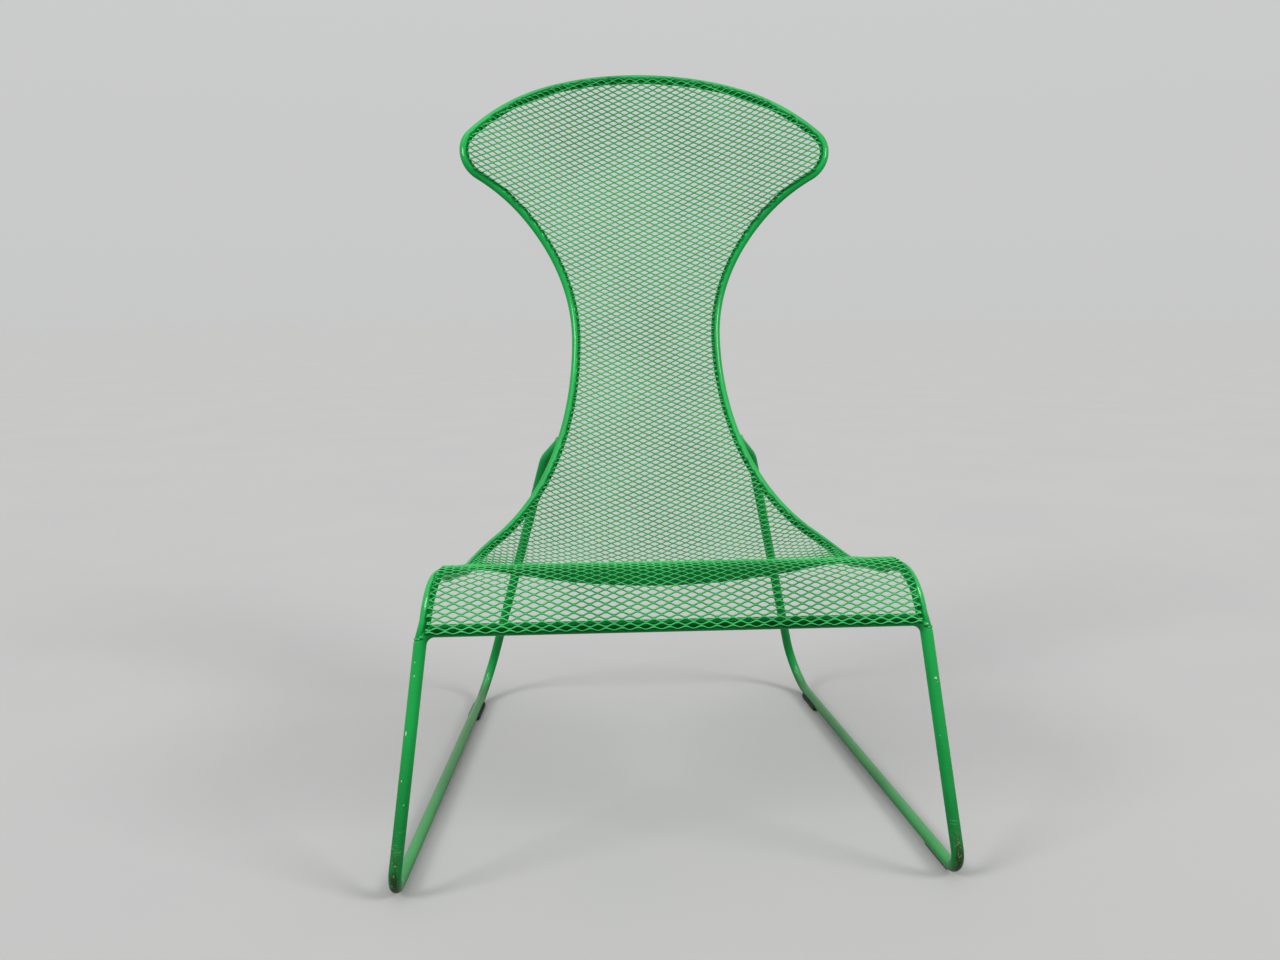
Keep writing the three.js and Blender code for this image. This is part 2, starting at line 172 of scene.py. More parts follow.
# Places where the front legs' coat is knocked off: hand, height, turn from the front, radius
CHIPS = (
    (-1, 239.0, -0.35, 1.1),
    (-1, 226.0, -0.25, 0.9),
    (-1, 170.0, -0.55, 1.3),
    (-1, 124.0, -0.5, 1.1),
    (-1, 101.0, 0.3, 0.7),
    (1, 211.0, 0.1, 1.2),
    (1, 207.0, 0.35, 0.8),
    (1, 152.0, -0.4, 0.7),
    (1, 46.0, 0.1, 1.0),
    (1, 38.0, -0.05, 0.9),
)
CHIP_CORE = 0.8
CHIP_WOBBLE = 0.006

# Colours
GREEN = (0.0006, 0.255, 0.042, 1)
NET_GREEN = (0.0015, 0.29, 0.052, 1)
# Painted shade, laid on rods where the net covers them and on the weld beads' undersides
PAINTED_SHADE = (0.0008, 0.045, 0.010, 1)
# Dust together with painted sheen, on what faces up
DUST_AND_SHEEN = (0.34, 0.42, 0.33, 1)
CHIP = (0.36, 0.55, 0.33, 1)
# Painted shade for the front legs, darker towards the foot
LOWER_LEG_SHADE = (0.002, 0.10, 0.018, 1)
RUBBED = (0.022, 0.034, 0.012, 1)
SPECK = (0.48, 0.45, 0.14, 1)
TRODDEN = (0.045, 0.09, 0.04, 1)
# Painted shade for the runners' undersides
RUNNER_UNDERSIDE_SHADE = (0.03, 0.045, 0.02, 1)
RUBBER = (0.006, 0.006, 0.007, 1)
RUBBER_PALE = (0.028, 0.027, 0.025, 1)
SCUFF = (0.16, 0.15, 0.13, 1)
SKY = (0.99, 1.0, 0.995, 1)

# Dark and light of the mottled coat and of the floor: factors of their colour, and an addition
DARKER = 0.80
LIGHTER = 1.16
PALER = 0.004
FLOOR_LIGHT = (1.015, 1.01, 1.0)
FLOOR_SHADE = (0.985, 0.985, 0.98)

# Noise scales, in patches per metre; the specks' scale counts in blotches
MOTTLE = 7.0
GRAIN = 420.0
ORANGE_PEEL = 650.0
CHIP_EDGE = 260.0
RUBBER_CLOUD = 60.0
RUBBER_GRAIN = 900.0
FLOOR_CLOUD = 2.2
BLOTCHES = (230.0, 230.0, 75.0)
SCRATCHES = (60.0, 60.0, 1500.0)
SPECKS = 3.3

# Surrounding: brightness at the horizon, overhead and below
HORIZON = 0.58
OVERHEAD = 0.66
BELOW = 0.26

# Suns: name, tilt from overhead, turn from the front, strength, width, and what they light
SUNS = (
    ("key", 34.0, -38.0, 0.34, 40.0, "all"),
    ("fill", 48.0, 50.0, 0.26, 40.0, "all"),
    ("low_left", 56.0, -60.0, 1.5, 20.0, "floor"),
    ("low_right", 56.0, 60.0, 1.5, 20.0, "floor"),
    ("top", 8.0, 0.0, 0.6, 50.0, "chair"),
)

# Soft boxes, which light the chair alone: name, place and power
BOXES = (
    ("box_left", (-0.76, -0.66, 1.12), 10.3),
    ("box_right", (0.76, -0.66, 1.12), 8.6),
)
BOX_SIZE = 0.38
BOX_AIM = Vector((0, 0, 0.55))

# Camera fitted to the photograph: place, turns about Z, X and Z, focal length in image widths
CAMERA_PLACE = (-0.10048, -1.27430, 0.57927)
CAMERA_TURNS = (-3.566, 81.069, -0.32)
SENSOR = 36
FOCAL = 1050 / 1280

# The floor reaches this far in metres to all sides
FLOOR_REACH = 60


# The shell's surface and outline


def centre_line(along):
    """Back, up and lean of the shell's middle line at lengths along it."""
    along = np.asarray(along, float)
    y = np.zeros_like(along)
    z = np.full_like(along, EDGE_Z)
    lean = np.full_like(along, math.radians(LEANS[0]))
    left = along.copy()
    for run, lo, hi in zip(RUNS, LEANS[:-1], LEANS[1:]):
        length = np.clip(left, 0, run)
        turn = math.radians(hi - lo) * length / run
        chord = length * np.sinc(turn / 2 / np.pi)
        y += chord * np.sin(lean + turn / 2)
        z += chord * np.cos(lean + turn / 2)
        lean += turn
        left -= length
    return y, z, lean


def on_shell(across, along, lift):
    """Points of the shell in metres, in the part's frame."""
    across, along, lift = np.broadcast_arrays(across, along, lift)
    y, z, lean = centre_line(along)
    bend = np.interp(along, HOLLOW_AT, HOLLOW) + NO_HOLLOW
    reach = np.abs(across)
    tilt = np.clip(bend * reach, -WING, WING)
    curved = np.minimum(reach, WING / np.abs(bend))
    flat = reach - curved
    out = np.sin(tilt) / bend + flat * np.cos(tilt) - lift * np.sin(tilt)
    rise = (1 - np.cos(tilt)) / bend + flat * np.sin(tilt) + lift * np.cos(tilt)
    back = y - rise * np.cos(lean) + PLAN_SHIFT
    return np.stack([np.sign(across) * out, back, z + rise * np.sin(lean)], -1) * MM


def arc(centre, radius, start, end, steps=60):
    """Points of an arc without its first one."""
    turn = np.linspace(start, end, steps + 1)[1:]
    return np.stack([centre[0] + radius * np.cos(turn), centre[1] + radius * np.sin(turn)], -1)


def half_outline():
    """Outline of the right half of the shell laid flat, from the front edge to the top."""
    side = np.array([-math.sin(TAPER), math.cos(TAPER)])
    out = np.array([math.cos(TAPER), math.sin(TAPER)])
    front = np.array([FRONT_W, 0.0])
    lower = np.array([WAIST_W + WAIST_LOWER_R, WAIST_AT])
    upper = np.array([WAIST_W + WAIST_UPPER_R, WAIST_AT])
    top = np.array([0.0, LENGTH - TOP_R])
    slid = front - CORNER_R * out
    away = slid - lower
    lead = away @ side
    length = -lead - math.sqrt(lead**2 - away @ away + (CORNER_R + WAIST_LOWER_R) ** 2)
    corner = slid + length * side
    apart = upper - top
    span = math.hypot(*apart)
    near, far = WAIST_UPPER_R + TIP_R, TOP_R - TIP_R
    foot = (far**2 - near**2 + span**2) / (2 * span)
    unit = apart / span
    tip = top + foot * unit + math.sqrt(far**2 - foot**2) * np.array([-unit[1], unit[0]])

    def angle(a, b):
        return math.atan2(b[1] - a[1], b[0] - a[0])

    return np.concatenate(
        [
            front + np.linspace(0, length, 40)[:, None] * side,
            arc(corner, CORNER_R, TAPER, angle(corner, lower)),
            arc(lower, WAIST_LOWER_R, angle(lower, corner) + 2 * math.pi, math.pi),
            arc(upper, WAIST_UPPER_R, math.pi, angle(upper, tip) % (2 * math.pi)),
            arc(tip, TIP_R, angle(tip, upper), angle(top, tip)),
            arc(top, TOP_R, angle(top, tip), math.pi / 2),
        ]
    )


OUTLINE = half_outline()


def half_width(along):
    return np.interp(along, OUTLINE[:, 1], OUTLINE[:, 0])


def rim_point(across, along):
    """Point of the rim rod's centre line under a point of the shell."""
    share = np.clip((SLOPE_AT + RUNS[2] - along) / RUNS[2], 0, 1)
    return on_shell(across, along, -(SHELL_T / 2 + FIT_GAP + RIM_R + NET_SAG * share))


# Pieces


def add_object(name, data):
    made = bpy.data.objects.new(name, data)
    bpy.context.scene.collection.objects.link(made)
    return made


def new_piece(name, verts, faces):
    mesh = bpy.data.meshes.new(name)
    mesh.from_pydata([tuple(v) for v in verts], [], faces)
    mesh.update()
    mesh.shade_smooth()
    return add_object(name, mesh)


def dress(piece, node):
    """Makes a piece ride on the chair, and stand for a node if there is one."""
    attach(piece, "root")
    if node:
        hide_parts(node)


# Rods


def bent_path(corners, bends, step=math.radians(5)):
    """Points in metres along straight runs with each inner corner rounded to its bend radius."""
    points = [Vector(corners[0])]
    for before, here, after, bend in zip(corners, corners[1:], corners[2:], bends):
        before, here, after = Vector(before), Vector(here), Vector(after)
        a, b = (here - before).normalized(), (after - here).normalized()
        turn = a.angle(b)
        setback = bend * math.tan(turn / 2)
        centre = here + (b - a).normalized() * math.hypot(bend, setback)
        arm = here - a * setback - centre
        axis = a.cross(b).normalized()
        steps = math.ceil(turn / step)
        for k in range(steps + 1):
            points.append(centre + Quaternion(axis, turn * k / steps) @ arm)
    points.append(Vector(corners[-1]))
    return [Vector((p.x, p.y + PLAN_SHIFT, p.z)) * MM for p in points]


def subdivide(points, longest):
    """Adds points on straight runs so that no step is over a length."""
    out = [points[0]]
    for a, b in zip(points, points[1:]):
        count = max(1, math.ceil((b - a).length / longest))
        out += [a.lerp(b, k / count) for k in range(1, count + 1)]
    return out


def thinned(points, shortest):
    """Leaves out points that follow the last kept one within a length."""
    out = [points[0]]
    for p in points[1:]:
        if (p - out[-1]).length > shortest:
            out.append(p)
    return out


def rod_mesh(name, points, radius, sides=32):
    """A round rod with closed, slightly rounded ends along a list of points."""
    tangents = []
    for i, p in enumerate(points):
        before = (p - points[i - 1]).normalized() if i else Vector((0, 0, 0))
        after = (points[i + 1] - p).normalized() if i + 1 < len(points) else Vector((0, 0, 0))
        tangents.append((before + after).normalized())
    side = tangents[0].orthogonal().normalized()
    rings = []
    edge = radius * END_ROUNDING
    for i, (p, t) in enumerate(zip(points, tangents)):
        if i:
            side = tangents[i - 1].rotation_difference(t) @ side
        rings.append((p, side.copy(), t.cross(side), radius))
    (p, u, v, _), (q, s, w, _) = rings[0], rings[-1]
    rings.insert(0, (p - tangents[0] * edge, u, v, radius - edge))
    rings.append((q + tangents[-1] * edge, s, w, radius - edge))
    verts, faces = [], []
    for p, u, v, r in rings:
        for k in range(sides):
            turn = 2 * math.pi * k / sides
            verts.append(p + (u * math.cos(turn) + v * math.sin(turn)) * r)
    for i in range(len(rings) - 1):
        for k in range(sides):
            a, b = i * sides + k, i * sides + (k + 1) % sides
            faces.append((a, b, b + sides, a + sides))
    faces.append(tuple(reversed(range(sides))))
    last = (len(rings) - 1) * sides
    faces.append(tuple(range(last, last + sides)))
    return new_piece(name, verts, faces)


# The rail lies inside the lip's roll, and each hook ends on the back of the rim rod
rail_reach = SHELL_T / 2 + FIT_GAP + BASE_R + NET_SAG
edge_lean = math.radians(LEANS[0])
rail_rise = RAIL_Z - EDGE_Z + LIP_R * math.sin(edge_lean)
RAIL_Y = LIP_R * math.cos(edge_lean) - math.sqrt((LIP_R - rail_reach) ** 2 - rail_rise**2)
landing = rim_point(half_width(HOOK_LANDING), HOOK_LANDING) / MM - np.array([0, PLAN_SHIFT, 0])
hook_axis = landing - np.array(HOOK_CORNER)
hook_axis = hook_axis / np.linalg.norm(hook_axis)
hook_end = landing - hook_axis * RIM_R * HOOK_STOPS_SHORT


def base_corners(side):
    return [
        (side * RAIL_X, RAIL_Y, RAIL_Z),
        (side * FRONT_FOOT[0], FRONT_FOOT[1], RUNNER_Z),
        (side * REAR_FOOT[0], REAR_FOOT[1], RUNNER_Z),
        (side * HOOK_CORNER[0], HOOK_CORNER[1], HOOK_CORNER[2]),
        (side * hook_end[0], hook_end[1], hook_end[2]),
    ]


def on_leg(side, below):
    """Point in metres on a front leg's centre line at a height below the rail's."""
    share = below / (RAIL_Z - RUNNER_Z)
    x = RAIL_X + share * (FRONT_FOOT[0] - RAIL_X)
    y = RAIL_Y + share * (FRONT_FOOT[1] - RAIL_Y)
    return np.array([side * x, y + PLAN_SHIFT, RAIL_Z - below]) * MM


base_line = bent_path(base_corners(-1)[::-1] + base_corners(1), BENDS[::-1] + BENDS)
base_rod = rod_mesh("base_rod_round", subdivide(base_line, LONGEST_STEP), BASE_R * MM)

low = np.array([[half_width(RIM_FOLLOWS_FROM), RIM_FOLLOWS_FROM]])
right = np.concatenate([low, OUTLINE[OUTLINE[:, 1] > RIM_FOLLOWS_FROM]])
right3 = np.concatenate([[on_leg(1, RIM_END_BELOW)], rim_point(right[:, 0], right[:, 1])])
left3 = (right3[:-1] * (-1, 1, 1))[::-1]
rim_line = [Vector(p) for p in np.concatenate([right3, left3])]
rim_rod = rod_mesh("rim_rod_round", thinned(rim_line, SHORTEST_STEP), RIM_R * MM)


# Expanded metal sheet: zigzag ribbons, each bonded to the next one at every long way


def strand_rows(rng):
    """One ribbon per half short way: across, along and lift samples of its middle line."""
    pitch = SHORT_WAY / 2
    swing = (pitch - STRAND_W * STRAND_BITE) / 2
    half = LONG_WAY / 2
    rows = []
    for k in range(int((LENGTH - LAST_ROW_SHORT - FIRST_ROW) / pitch) + 1):
        along = FIRST_ROW + k * pitch
        width = float(half_width(along)) + STRAND_END
        knots = []
        n = int(width / half) + 2
        for i in range(-n, n + 1):
            up = 1 if (i + k) % 2 else -1
            for d in (-BOND_SHARE, BOND_SHARE):
                knots.append((half * (i + d), up))
        xs = np.array([x for x, _ in knots])
        ups = np.array([u for _, u in knots], float)
        inside = np.abs(xs) < width
        ends = width + rng.uniform(*CUT_SCATTER, 2)
        x = np.concatenate([-ends[:1], xs[inside], ends[1:]])
        u = np.interp(x, xs, ups)
        waver = rng.uniform(-STRAND_WAVER, STRAND_WAVER, len(x))
        rows.append((x, along + swing * u + waver, RAISE * u))
    return rows


def sheet_mesh(name, rows):
    """All ribbons as one mesh of four-sided strands with closed ends."""
    verts, faces = [], []
    total = 0
    square = np.array([(-1, -1), (1, -1), (1, 1), (-1, 1)], float)
    c, s = math.cos(STRAND_TILT), math.sin(STRAND_TILT)
    turned = square * (STRAND_W / 2, STRAND_T / 2) @ np.array([[c, s], [-s, c]])
    for x, along, lift in rows:
        n = len(x)
        ring = [on_shell(x, along + da, lift + dl) for da, dl in turned]
        verts.append(np.stack(ring, 1).reshape(-1, 3))
        base = total + 4 * np.arange(n - 1)
        for a in range(4):
            b = (a + 1) % 4
            faces.append(np.stack([base + a, base + 4 + a, base + 4 + b, base + b], -1))
        faces.append(np.array([[total, total + 1, total + 2, total + 3]]))
        end = total + 4 * (n - 1)
        faces.append(np.array([[end + 3, end + 2, end + 1, end]]))
        total += 4 * n
    verts, faces = np.concatenate(verts), np.concatenate(faces)
    starts = 4 * np.arange(len(faces))
    mesh = bpy.data.meshes.new(name)
    mesh.vertices.add(len(verts))
    mesh.vertices.foreach_set("co", verts.ravel())
    mesh.loops.add(4 * len(faces))
    mesh.loops.foreach_set("vertex_index", faces.ravel().astype(np.int32))
    mesh.polygons.add(len(faces))
    mesh.polygons.foreach_set("loop_start", starts.astype(np.int32))
    mesh.update(calc_edges=True)
    mesh.validate()
    return add_object(name, mesh)


def mark_covered(rod, net):
    """Stores on each point of a rod how far the net covers it, from 0 to 1, which sets the rod's
    painted shade.
    """
    values = []
    for vertex in rod.data.vertices:
        distance = net.find_nearest(vertex.co, COVER_FAR)[3]
        share = 0.0 if distance is None else (COVER_FAR - distance) / (COVER_FAR - COVER_NEAR)
        values.append(min(1.0, share))
    rod.data.attributes.new("covered", "FLOAT", "POINT").data.foreach_set("value", values)


rows = strand_rows(np.random.default_rng(4))
sheet = sheet_mesh("expanded_metal", rows)
sheet_points = [v.co for v in sheet.data.vertices]
net = BVHTree.FromPolygons(sheet_points, [tuple(p.vertices) for p in sheet.data.polygons])
mark_covered(base_rod, net)
mark_covered(rim_rod, net)


# Weld beads, tack welds and glides


def bumpy(seed, *where):
    """Smooth noise, which each seed reads at a place of its own."""
    return noise.noise(Vector(where) + Vector((7.3, 3.1, 1.7)) * seed)


def square_to(axis):
    """An axis with two directions square to it; the second one faces the front."""
    axis = Vector(axis).normalized()
    side = axis.cross(Vector((0, 1, 0))).normalized()
    return axis, side, axis.cross(side)


def bead_ring(centre, axis, ring_radius, bead_radius, seed, around=72, section=12):
    """Rippled weld bead round a rod, sizes in millimetres."""
    axis, side, other = square_to(axis)
    verts, faces = [], []
    for i in range(around):
        turn = 2 * math.pi * i / around
        c, s = math.cos(turn), math.sin(turn)
        out = side * c + other * s
        ripple = 1 + RIPPLE * math.sin(RIPPLES * turn + 2 * bumpy(seed, 2 * c, 2 * s, 0))
        ripple += SWELL * bumpy(seed + 1, 1.6 * c, 1.6 * s, 4)
        drift = WANDER * bumpy(seed + 2, c, s, 9)
        radius = bead_radius * ripple
        for j in range(section):
            swing = 2 * math.pi * j / section
            point = centre + out * (ring_radius + radius * math.cos(swing))
            point += axis * (drift + STRETCH * radius * math.sin(swing))
            verts.append(point * MM)
            a, b = i * section + j, i * section + (j + 1) % section
            c2, d2 = (a + section) % (around * section), (b + section) % (around * section)
            faces.append((a, b, d2, c2))
    return verts, faces


def blob(centre, normal, along, size, seed, rings=5, section=9):
    """Low rounded lump lying on a surface, sizes in millimetres."""
    across = normal.cross(along).normalized()
    verts, faces = [], []
    for i in range(rings):
        polar = math.pi * (i + 0.5) / rings
        for j in range(section):
            turn = 2 * math.pi * j / section
            lump = 1 + LUMP_BUMPS * bumpy(seed, math.cos(turn), math.sin(turn), polar)
            spread = math.sin(polar) * lump
            point = centre + along * (size[0] * spread * math.cos(turn))
            flat = across * (size[1] * spread * math.sin(turn))
            point += flat + normal * (size[2] * math.cos(polar) * lump)
            verts.append(point * MM)
            if i:
                a, b = i * section + j, i * section + (j + 1) % section
                faces.append((a - section, a, b, b - section))
    faces.append(tuple(range(section)))
    faces.append(tuple(reversed(range((rings - 1) * section, rings * section))))
    return verts, faces


def joined(parts):
    """Points and faces of several parts as one."""
    verts, faces = [], []
    for points, polygons in parts:
        faces += [tuple(k + len(verts) for k in polygon) for polygon in polygons]
        verts += points
    return verts, faces


def front_bead(side, hand):
    """Bead and lumps where the rim rod's end meets the top of a front leg."""
    seed = BEAD_SEED + side
    leg, east, north = square_to(Vector(on_leg(side, 100)) - Vector(on_leg(side, 0)))
    centre = Vector(on_leg(side, FRONT_BEAD_BELOW)) / MM
    parts = [bead_ring(centre, leg, BASE_R - FRONT_BEAD_SUNK, FRONT_BEAD_R, seed)]
    for turn, below, size in WELD_LUMPS[hand]:
        out = (north * math.cos(turn) + east * math.sin(turn)).normalized()
        spot = Vector(on_leg(side, below)) / MM + out * (BASE_R + LUMP_PROUD)
        parts.append(blob(spot, out, leg, [s * size for s in LUMP_SHAPE], seed + below))
    return new_piece(f"weld_front_{hand}_bead", *joined(parts))


def hook_bead(side, hand):
    """Bead where a hook's end meets the back of the rim rod."""
    seed = BEAD_SEED + side + HOOK_SEED_STEP
    axis = Vector((hook_axis[0] * side, hook_axis[1], hook_axis[2]))
    centre = Vector((hook_end[0] * side, hook_end[1] + PLAN_SHIFT, hook_end[2]))
    centre -= axis * HOOK_BEAD_BACK
    ring = bead_ring(centre, axis, BASE_R - HOOK_BEAD_SUNK, HOOK_BEAD_R, seed)
    return new_piece(f"weld_hook_{hand}_bead", *ring)


def tack(across, along, size, seed):
    """Drop of metal that holds a strand's end to the rim rod."""
    here, above, ahead = (
        Vector(on_shell(across * TACK_INSET, along + forward, lift)) / MM
        for forward, lift in ((0, TACK_LIFT), (0, 1), (1, TACK_LIFT))
    )
    normal, forward = (above - here).normalized(), (ahead - here).normalized()
    return blob(here, normal, forward, [s * size for s in TACK_SHAPE], seed, 4, 7)


beads = []
for side, hand in ((-1, "left"), (1, "right")):
    beads.append((front_bead(side, hand), f"weld_front_{hand}"))
    beads.append((hook_bead(side, hand), f"weld_hook_{hand}"))

tacks = []
draw = np.random.default_rng(11)
for k, (x, along, _) in enumerate(rows):
    for end in (0, -1):
        size = draw.uniform(*TACK_SIZES)
        tacks.append(tack(x[end], along[end], size, k + TACK_SEED_STEP * end))
tack_welds = new_piece("tack_welds", *joined(tacks))


def pad_section(end, across_saddle=12, across_sole=16):
    """Saddle and outer line of a glide's section: out from its middle, and up."""
    fit = BASE_R + PAD_GAP
    rise = GLIDE_RISE[end]
    reach = math.acos((RUNNER_Z - rise) / fit)
    inner, outer = [], []
    for k in range(across_saddle + 1):
        turn = -reach + 2 * reach * k / across_saddle
        inner.append((fit * math.sin(turn), RUNNER_Z - fit * math.cos(turn)))
    wide = fit * math.sin(reach) + PAD_WALL[end]
    for k in range(across_sole + 1):
        turn = math.pi * k / across_sole
        c, s = math.cos(turn), math.sin(turn)
        flank = math.copysign(abs(c) ** FLANK_POWER, c)
        outer.append((wide * flank, rise * (1 - s**SOLE_POWER)))
    return inner, outer


def saddle_pad(name, side, end, steps=28):
    """Pad moulded round the underside of a runner."""
    front = Vector((side * FRONT_FOOT[0], FRONT_FOOT[1] + PLAN_SHIFT, 0))
    rear = Vector((side * REAR_FOOT[0], REAR_FOOT[1] + PLAN_SHIFT, 0))
    start, stop = (front, rear) if end == "front" else (rear, front)
    along = (stop - start).normalized()
    across = Vector((along.y, -along.x, 0))
    centre = start + along * GLIDE_FROM_CORNER[end]
    inner, outer = pad_section(end)
    verts, faces = [], []
    for i in range(steps + 1):
        place = -1 + 2 * i / steps
        middle = centre + along * (place * GLIDE_LENGTH / 2)
        squeeze = (1 - abs(place) ** PAD_SQUARENESS) ** 0.5
        shrink = PAD_END_WIDTH + (1 - PAD_END_WIDTH) * squeeze
        verts += [(middle + across * u + Vector((0, 0, z))) * MM for u, z in inner]
        for u, z in outer:
            lift = (1 - squeeze) * PAD_END_LIFT * max(0, 1 - z / PAD_LIFT_TO)
            verts.append((middle + across * (u * shrink) + Vector((0, 0, z + lift))) * MM)
    n = len(inner) + len(outer)
    for i in range(steps):
        for k in range(n):
            a, b = i * n + k, i * n + (k + 1) % n
            faces.append((a, b, b + n, a + n))
    faces.append(tuple(reversed(range(n))))
    faces.append(tuple(range(steps * n, steps * n + n)))
    return new_piece(name, verts, faces)


glides = []
for side, hand in ((-1, "left"), (1, "right")):
    for end in ("front", "rear"):
        pad = saddle_pad(f"glide_{end}_{hand}_pad", side, end)
        glides.append((pad, f"glide_{end}_{hand}"))

dress(base_rod, "base_rod")
dress(rim_rod, "rim_rod")
dress(sheet, "mesh_shell")
dress(tack_welds, None)
for piece, node in beads:
    dress(piece, node)
for piece, node in glides:
    dress(piece, node)


# Materials


class Paint:
    """A node material with a Principled shader and short ways to add and join nodes."""

    def __init__(self, name):
        self.material = bpy.data.materials.new(name)
        self.material.use_nodes = True
        self.tree = self.material.node_tree
        self.shader = self.tree.nodes["Principled BSDF"]
        self.where = self.add("ShaderNodeTexCoord").outputs["Object"]

    def put(self, socket, value):
        if isinstance(value, bpy.types.NodeSocket):
            self.tree.links.new(value, socket)
        else:
            socket.default_value = value

    def add(self, kind, inputs=None, **settings):
        node = self.tree.nodes.new(kind)
        for key, value in settings.items():
            setattr(node, key, value)
        for key, value in (inputs or {}).items():
            self.put(node.inputs[key], value)
        return node

    def noise(self, scale, detail=2.0, rough=0.5, vector=None, output="Fac"):
        inputs = {"Vector": vector or self.where, "Scale": scale}
        inputs.update({"Detail": detail, "Roughness": rough})
        return self.add("ShaderNodeTexNoise", inputs).outputs[output]

    def ramp(self, value, low, high, to_low=0.0, to_high=1.0):
        """Smooth step from one value to another between two readings."""
        inputs = {"Value": value, "From Min": low, "From Max": high}
        inputs.update({"To Min": to_low, "To Max": to_high})
        settings = {"clamp": True, "interpolation_type": "SMOOTHSTEP"}
        return self.add("ShaderNodeMapRange", inputs, **settings).outputs["Result"]

    def math(self, kind, a, b=0.0):
        return self.add("ShaderNodeMath", {0: a, 1: b}, operation=kind).outputs["Value"]

    def product(self, first, *others):
        for other in others:
            first = self.math("MULTIPLY", first, other)
        return first

    def vector(self, kind, a, b):
        second = "Scale" if kind == "SCALE" else 1
        return self.add("ShaderNodeVectorMath", {0: a, second: b}, operation=kind).outputs[0]

    def mix(self, share, a, b):
        node = self.add("ShaderNodeMix", data_type="RGBA")
        self.put(node.inputs[0], share)
        self.put(node.inputs[6], a)
        self.put(node.inputs[7], b)
        return node.outputs[2]

    def parts(self, vector):
        return self.add("ShaderNodeSeparateXYZ", {"Vector": vector}).outputs

    def facing_up(self):
        """How far the surface faces up, from -1 to 1."""
        return self.parts(self.add("ShaderNodeNewGeometry").outputs["Normal"])["Z"]

    def distance(self, point, vector):
        node = self.add("ShaderNodeVectorMath", {0: vector, 1: point}, operation="DISTANCE")
        return node.outputs["Value"]

    def bump(self, height, strength, distance, normal=None):
        inputs = {"Height": height, "Strength": strength, "Distance": distance}
        if normal:
            inputs["Normal"] = normal
        return self.add("ShaderNodeBump", inputs).outputs["Normal"]

    def set(self, **sockets):
        for key, value in sockets.items():
            self.put(self.shader.inputs[key.replace("_", " ")], value)


def green_coat(name, base, dust_and_sheen_share, rough, high_up=1.0):
    """Powder coat: mottled green with fine grain, dust and painted sheen on what faces up, an
    orange-peel skin.
    """
    paint = Paint(name)
    wide = paint.noise(MOTTLE, 3.0, 0.6)
    fine = paint.noise(GRAIN, 2.0, 0.6)
    dark = tuple(c * DARKER for c in base[:3]) + (1,)
    light = tuple(c * LIGHTER + PALER for c in base[:3]) + (1,)
    colour = paint.mix(paint.ramp(wide, 0.3, 0.7), dark, light)
    colour = paint.mix(paint.ramp(fine, 0.35, 0.75, 0.0, 0.35), colour, light)
    # Dust with painted sheen on what faces up
    upward_dust_and_sheen = paint.ramp(paint.facing_up(), 0.1, 1.0, 0.0, dust_and_sheen_share)
    low_down = paint.ramp(paint.parts(paint.where)["Z"], 0.02, 0.1, 1.0, high_up)
    dust_and_sheen = paint.product(upward_dust_and_sheen, paint.ramp(wide, 0.25, 0.7, 0.55, 1.0), low_down)
    colour = paint.mix(dust_and_sheen, colour, DUST_AND_SHEEN)
    roughness = paint.ramp(wide, 0.3, 0.7, rough - 0.05, rough + 0.06)
    roughness = paint.math("ADD", roughness, paint.product(dust_and_sheen, 0.5))
    peel = paint.bump(paint.noise(ORANGE_PEEL), 0.12, 0.0004)
    return paint, colour, roughness, peel


def finish_coat(paint, colour, roughness, normal, coat=0.05, specular=0.15):
    """Links a coat's colour, roughness and skin to the shader."""
    paint.set(Base_Color=colour, Roughness=roughness, Normal=normal)
    paint.set(Specular_IOR_Level=specular, Coat_Weight=coat, Coat_Roughness=0.12)
    return paint.material


def rod_coat(paint, colour, roughness, normal):
    """Glossy coat with painted shade where the net covers the rod, which also turns dull there.
    """
    covered = paint.add("ShaderNodeAttribute", attribute_name="covered").outputs["Fac"]
    # Painted shade where the net covers the rod
    colour = paint.mix(paint.product(covered, 0.78), colour, PAINTED_SHADE)
    roughness = paint.math("ADD", roughness, paint.product(covered, 0.5))
    gloss = paint.ramp(covered, 0.0, 0.5, 0.4, 0.02)
    return finish_coat(paint, colour, roughness, normal, gloss, 0.06)


def chip_marks(paint):
    """How far the coat is knocked off at the listed places, from 0 to 1."""
    wobble = paint.vector("SUBTRACT", paint.noise(CHIP_EDGE, output="Color"), (0.5, 0.5, 0.5))
    bent = paint.vector("ADD", paint.where, paint.vector("SCALE", wobble, CHIP_WOBBLE))
    marks = None
    for side, height, turn, radius in CHIPS:
        out = np.array([math.sin(turn), -math.cos(turn), 0.1])
        spot = on_leg(side, RAIL_Z - height) + out * BASE_R * MM
        edge = radius * MM
        near = paint.ramp(paint.distance(tuple(spot), bent), edge * CHIP_CORE, edge, 1.0, 0.0)
        marks = near if marks is None else paint.math("MAXIMUM", marks, near)
    return marks


